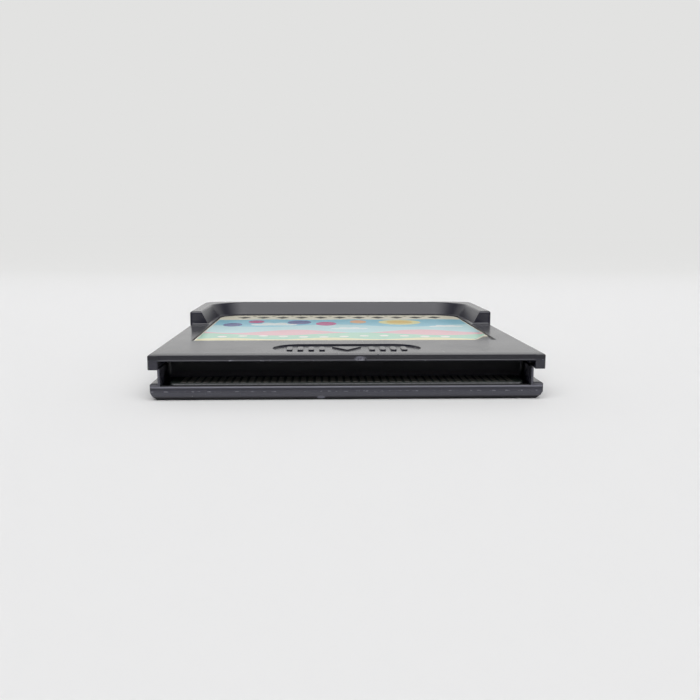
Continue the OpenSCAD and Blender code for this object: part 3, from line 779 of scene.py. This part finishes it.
for name, radius in EDGE_RADIUS.items():
    part = nodes[name]
    weld = part.modifiers.new("join_corners", "WELD")
    weld.merge_threshold = WELD_GAP * MM
    flat = part.modifiers.new("join_flat_faces", "DECIMATE")
    flat.decimate_type = "DISSOLVE"
    flat.angle_limit = math.radians(FLAT_ANGLE)
    round_edges(part, radius)
    print(name, "edges rounded to", radius, "mm")

# %% [markdown]
# The label is a coated paper, printed and laminated, in a pocket a little larger
# than itself. Its print is a plain design: a cream band with a row of dark lozenges,
# a sky with balloons and clouds, and bands of hills. The printed field keeps a margin
# inside the paper, has its two round corners, and follows the front right corner,
# which is cut off. Two functions of x give its front and its grip end, so every band
# of colour can end on them.

# %% Outline of the printed field
label_low, label_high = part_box("label")
LABEL_X = label_high.x / MM
LABEL_FRONT = (label_low.y - CONNECTOR_EDGE) / MM
LABEL_BACK = (label_high.y - CONNECTOR_EDGE) / MM
LABEL_TOP = label_high.z / MM
LABEL_CORNER = 5.75
CUT_X = 4.0
CUT_Y = 6.5
CUT_TIP = 0.7
CUT_START = (LABEL_X - CUT_X, LABEL_FRONT)
CUT_END = (LABEL_X - CUT_TIP, LABEL_FRONT + CUT_Y)
MARGIN = 0.25


def label_back(x):
    """The grip end of the printed field at x: straight, with two round corners."""
    past = abs(x) - (LABEL_X - LABEL_CORNER)
    if past <= 0:
        return LABEL_BACK - MARGIN
    r = LABEL_CORNER - MARGIN
    return LABEL_BACK - LABEL_CORNER + math.sqrt(max(r * r - past * past, 0))


def label_front(x):
    """The front end of the printed field at x: straight, and sloping at the cut corner."""
    slope = (CUT_END[1] - CUT_START[1]) / (CUT_END[0] - CUT_START[0])
    return max(LABEL_FRONT + MARGIN, CUT_START[1] + slope * (x - CUT_START[0] + MARGIN) + MARGIN)


print("printed field from", round(label_front(0), 2), "to", round(label_back(0), 2), "mm")

# %% [markdown]
# The print could be one shader full of masks, but flat shapes of ink stay crisp at
# any distance and each is a line of code. Every ink is a closed plate, about two to
# six hundredths of a millimetre thick. Its layer says how high it stands, and a
# higher ink covers the lower ones. The ink is offset print under a laminate: a faint
# mottle, as wide as a coarse screen dot, and a soft gloss.

# %% Ink plates
INK_STEP = 0.008
INK_GRAIN = 0.35
INK_DEPTH = 0.9


def ink(name, colour):
    """Offset ink under a laminate, in two near tones of one colour."""
    deep = [c * INK_DEPTH for c in linear(colour)[:3]] + [1]
    material, tree, shader = new_material(name, Roughness=0.18, IOR=1.5)
    place = node(tree, "ShaderNodeTexCoord").outputs["Object"]
    mottle = node(tree, "ShaderNodeTexNoise",
                  {"Vector": place, "Scale": 1 / (INK_GRAIN * MM), "Detail": 2.0}).outputs["Fac"]
    tree.links.new(coated(tree, deep, [(mottle, linear(colour))]), shader.inputs["Base Color"])
    return material


def raised(name, outlines, low, high):
    """A piece of closed plates from low to high, one for each outline of (x, y) points, in mm."""
    mesh = bmesh.new()
    for outline in outlines:
        base = mesh.faces.new([mesh.verts.new(from_edge(x, y, low)) for x, y in outline])
        grown = bmesh.ops.extrude_face_region(mesh, geom=[base])["geom"]
        for vert in [v for v in grown if isinstance(v, bmesh.types.BMVert)]:
            vert.co.z = high * MM
    bmesh.ops.recalc_face_normals(mesh, faces=mesh.faces)
    data = bpy.data.meshes.new(name)
    mesh.to_mesh(data)
    mesh.free()
    piece = bpy.data.objects.new(name, data)
    bpy.context.collection.objects.link(piece)
    return piece


def ink_plate(name, outlines, layer, material):
    piece = raised(name, outlines, LABEL_TOP - INK_STEP, LABEL_TOP + layer * INK_STEP)
    piece.data.materials.append(material)
    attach(piece, "root")
    print(name, len(outlines), "shapes")
    return piece


print("inks in steps of", INK_STEP, "mm")

# %% [markdown]
# All motifs are made of a few outlines, each a list of points in millimetres that a
# formula gives: bands between two waves, discs, ellipses, lozenges, bars and clouds.

# %% Outlines for the motifs
SLIMMEST = 0.01


def field(lower, upper, steps=120):
    """An outline between two curves, each a function of x, across the printed field."""
    half = LABEL_X - MARGIN
    xs = [-half + 2 * half * i / steps for i in range(steps + 1)]
    rows = [(x, min(max(lower(x), label_front(x)), label_back(x)),
             max(min(upper(x), label_back(x)), label_front(x))) for x in xs]
    rows = [row for row in rows if row[2] - row[1] > SLIMMEST]
    return [(x, low) for x, low, _ in rows] + [(x, high) for x, _, high in reversed(rows)]


def wave(base, height, length, phase):
    return lambda x: base + height * math.sin(2 * math.pi * (x / length + phase))


def disc(x, y, r, steps=48):
    return [(x + r * math.cos(2 * math.pi * i / steps), y + r * math.sin(2 * math.pi * i / steps))
            for i in range(steps)]


def ellipse(x, y, w, h):
    return [(x + (px - x) * w / 2, y + (py - y) * h / 2) for px, py in disc(x, y, 1)]


def lozenge(x, y, w, h):
    return [(x - w / 2, y), (x, y - h / 2), (x + w / 2, y), (x, y + h / 2)]


def bar(x, y, w, h, steps=12):
    """A bar with round ends."""
    r = h / 2
    turns = [math.pi * (i / steps - 0.5) for i in range(steps + 1)]
    right = [(x + w / 2 - r + r * math.cos(a), y + r * math.sin(a)) for a in turns]
    left = [(x - w / 2 + r - r * math.cos(a), y - r * math.sin(a)) for a in turns]
    return right + left


def cloud_outline(x, y, w, h, puffs=4, dip=0.72, steps=64):
    """A cloud with a level foot and a back of round puffs. Between them it dips to a share of its size."""
    back = []
    for i in range(steps + 1):
        turn = math.pi * i / steps
        puff = dip + (1 - dip) * abs(math.sin(puffs * turn))
        back.append((x + w / 2 * puff * math.cos(turn), y + h * puff * math.sin(turn)))
    return back


print("a lozenge has", len(lozenge(0, 0, 1, 1)), "corners and a disc", len(disc(0, 0, 1)))

# %% [markdown]
# The cream paper is left bare at the grip end, where eleven lozenges and a row of
# dots form a plain border. In front of it come the sky, which covers the rest of the
# field, and a paler haze over the sky's nearer part.

# %% Sky and border
BORDER_PITCH = 4.6
LOZENGES = 11
LOZENGE_Y = 58.6
LOZENGE_SIZE = (3.3, 4.4)
DOT_Y = 61.6
DOT_RADIUS = 0.5


def centred(count, pitch):
    """Places in a row, evenly spaced about the middle."""
    return [pitch * (i - (count - 1) / 2) for i in range(count)]


ink_plate("print_sky", [field(label_front, wave(base=54.2, height=0.5, length=19, phase=0.1))], 1,
          ink("ink_sky", "#93D2E6"))
ink_plate("print_haze", [field(label_front, wave(base=42, height=2.2, length=31, phase=0.3))], 2,
          ink("ink_haze", "#BEE5EA"))
lozenges = [lozenge(x, LOZENGE_Y, *LOZENGE_SIZE) for x in centred(LOZENGES, BORDER_PITCH)]
ink_plate("print_lozenges", lozenges, 1, ink("ink_olive", "#4E4B3A"))
dots = [disc(x, DOT_Y, DOT_RADIUS, steps=16) for x in centred(LOZENGES - 1, BORDER_PITCH)]
ink_plate("print_dots", dots, 1, ink("ink_olive_pale", "#A39F80"))

# %% [markdown]
# A sun, three clouds and five balloons fill the sky. Each is a plain shape of one
# ink, and the sun has a second ink in its middle.

# %% Sun, clouds and balloons
SUN = (13.5, 48.5)
SUN_RADIUS = 4.8
SUN_CORE_RADIUS = 3.0
# Clouds and balloons, each as x, y, width and height
CLOUDS = [(-15, 42.6, 11, 5.4), (1.5, 35.6, 8.5, 3.6), (23.0, 39.2, 8, 3.8)]
INDIGO_BALLOONS = [(-9.5, 48.5, 5.4, 7.4), (-24.2, 44.0, 4.2, 6.4)]
MAGENTA_BALLOONS = [(-3.4, 45.6, 4.6, 7.0), (-19.4, 49.8, 3.6, 5.4)]
PEACH_BALLOON = (4.0, 49.4, 3.8, 6.0)

ink_plate("print_sun", [disc(*SUN, SUN_RADIUS)], 3, ink("ink_sun", "#F2ECAE"))
ink_plate("print_sun_core", [disc(*SUN, SUN_CORE_RADIUS)], 4, ink("ink_amber", "#F0CF78"))
ink_plate("print_clouds", [cloud_outline(*size) for size in CLOUDS], 3, ink("ink_cloud", "#E9F5F4"))
ink_plate("print_balloons_indigo", [ellipse(*size) for size in INDIGO_BALLOONS], 4,
          ink("ink_indigo", "#5B65A0"))
ink_plate("print_balloons_magenta", [ellipse(*size) for size in MAGENTA_BALLOONS], 5,
          ink("ink_magenta", "#C4508E"))
ink_plate("print_balloon_peach", [ellipse(*PEACH_BALLOON)], 4, ink("ink_peach", "#EFB98C"))

# %% [markdown]
# Three bands of hills lie one over another, the nearest at the front end of the
# label, and a row of pale discs crosses the middle one as a path.

# %% Hills and path
PATH_START = -24
PATH_PITCH = 4
PATH_DISCS = 12
PATH_Y = 23.8
PATH_RADIUS = 0.9

ink_plate("print_hills_pink", [field(label_front, wave(base=32, height=2.6, length=26, phase=0.62))], 3,
          ink("ink_pink", "#F0BEC6"))
ink_plate("print_hills_mint", [field(label_front, wave(base=27.5, height=2.2, length=34, phase=0.15))], 4,
          ink("ink_mint", "#B0E0C8"))
ink_plate("print_hills_yellow", [field(label_front, wave(base=20.6, height=1.2, length=20, phase=0.4))], 5,
          ink("ink_yellow", "#F1E9B8"))
path_discs = [disc(PATH_START + PATH_PITCH * i, PATH_Y + PATH_RADIUS * math.sin(i), PATH_RADIUS)
              for i in range(PATH_DISCS)]
ink_plate("print_path", path_discs, 6, ink("ink_white", "#F6F6F0"))

# %% [markdown]
# The oval recess in front of the label holds a plain relief, moulded with the shell:
# an arrow head that points to the edge which goes into the console, between two
# groups of short ribs. It could be a bump in the shell's material, but a bump has no
# outline at this low angle. Each shape is an outline drawn up to just below the
# shell's face, and a bevel softens its edges. A rib is a bar with round ends, given a
# quarter turn.

# %% Relief in the oval recess
RELIEF_Y = 7.4
RELIEF_L = 3.8
RELIEF_RADIUS = 0.05
ARROW_W = 5.2
RIB_W = 1.0
RIB_PITCH = 1.9
FIRST_RIB = 4.4
RIBS = 4
RECESS_FLOOR = 7.6
RELIEF_TOP = 7.86
SUNK = 0.02

arrow = [(0, RELIEF_Y - RELIEF_L / 2), (ARROW_W / 2, RELIEF_Y + RELIEF_L / 2),
         (-ARROW_W / 2, RELIEF_Y + RELIEF_L / 2)]
ribs = []
for i in range(RIBS):
    for side in (-1, 1):
        x = side * (FIRST_RIB + i * RIB_PITCH)
        lying = bar(x, RELIEF_Y, RELIEF_L, RIB_W)
        ribs.append([(x - (py - RELIEF_Y), RELIEF_Y + (px - x)) for px, py in lying])

relief = raised("recess_relief", [arrow] + ribs, RECESS_FLOOR - SUNK, RELIEF_TOP)
relief.data.materials.append(abs_front)
round_edges(relief, RELIEF_RADIUS)
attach(relief, "root")
print("relief", 1 + len(ribs), "shapes")
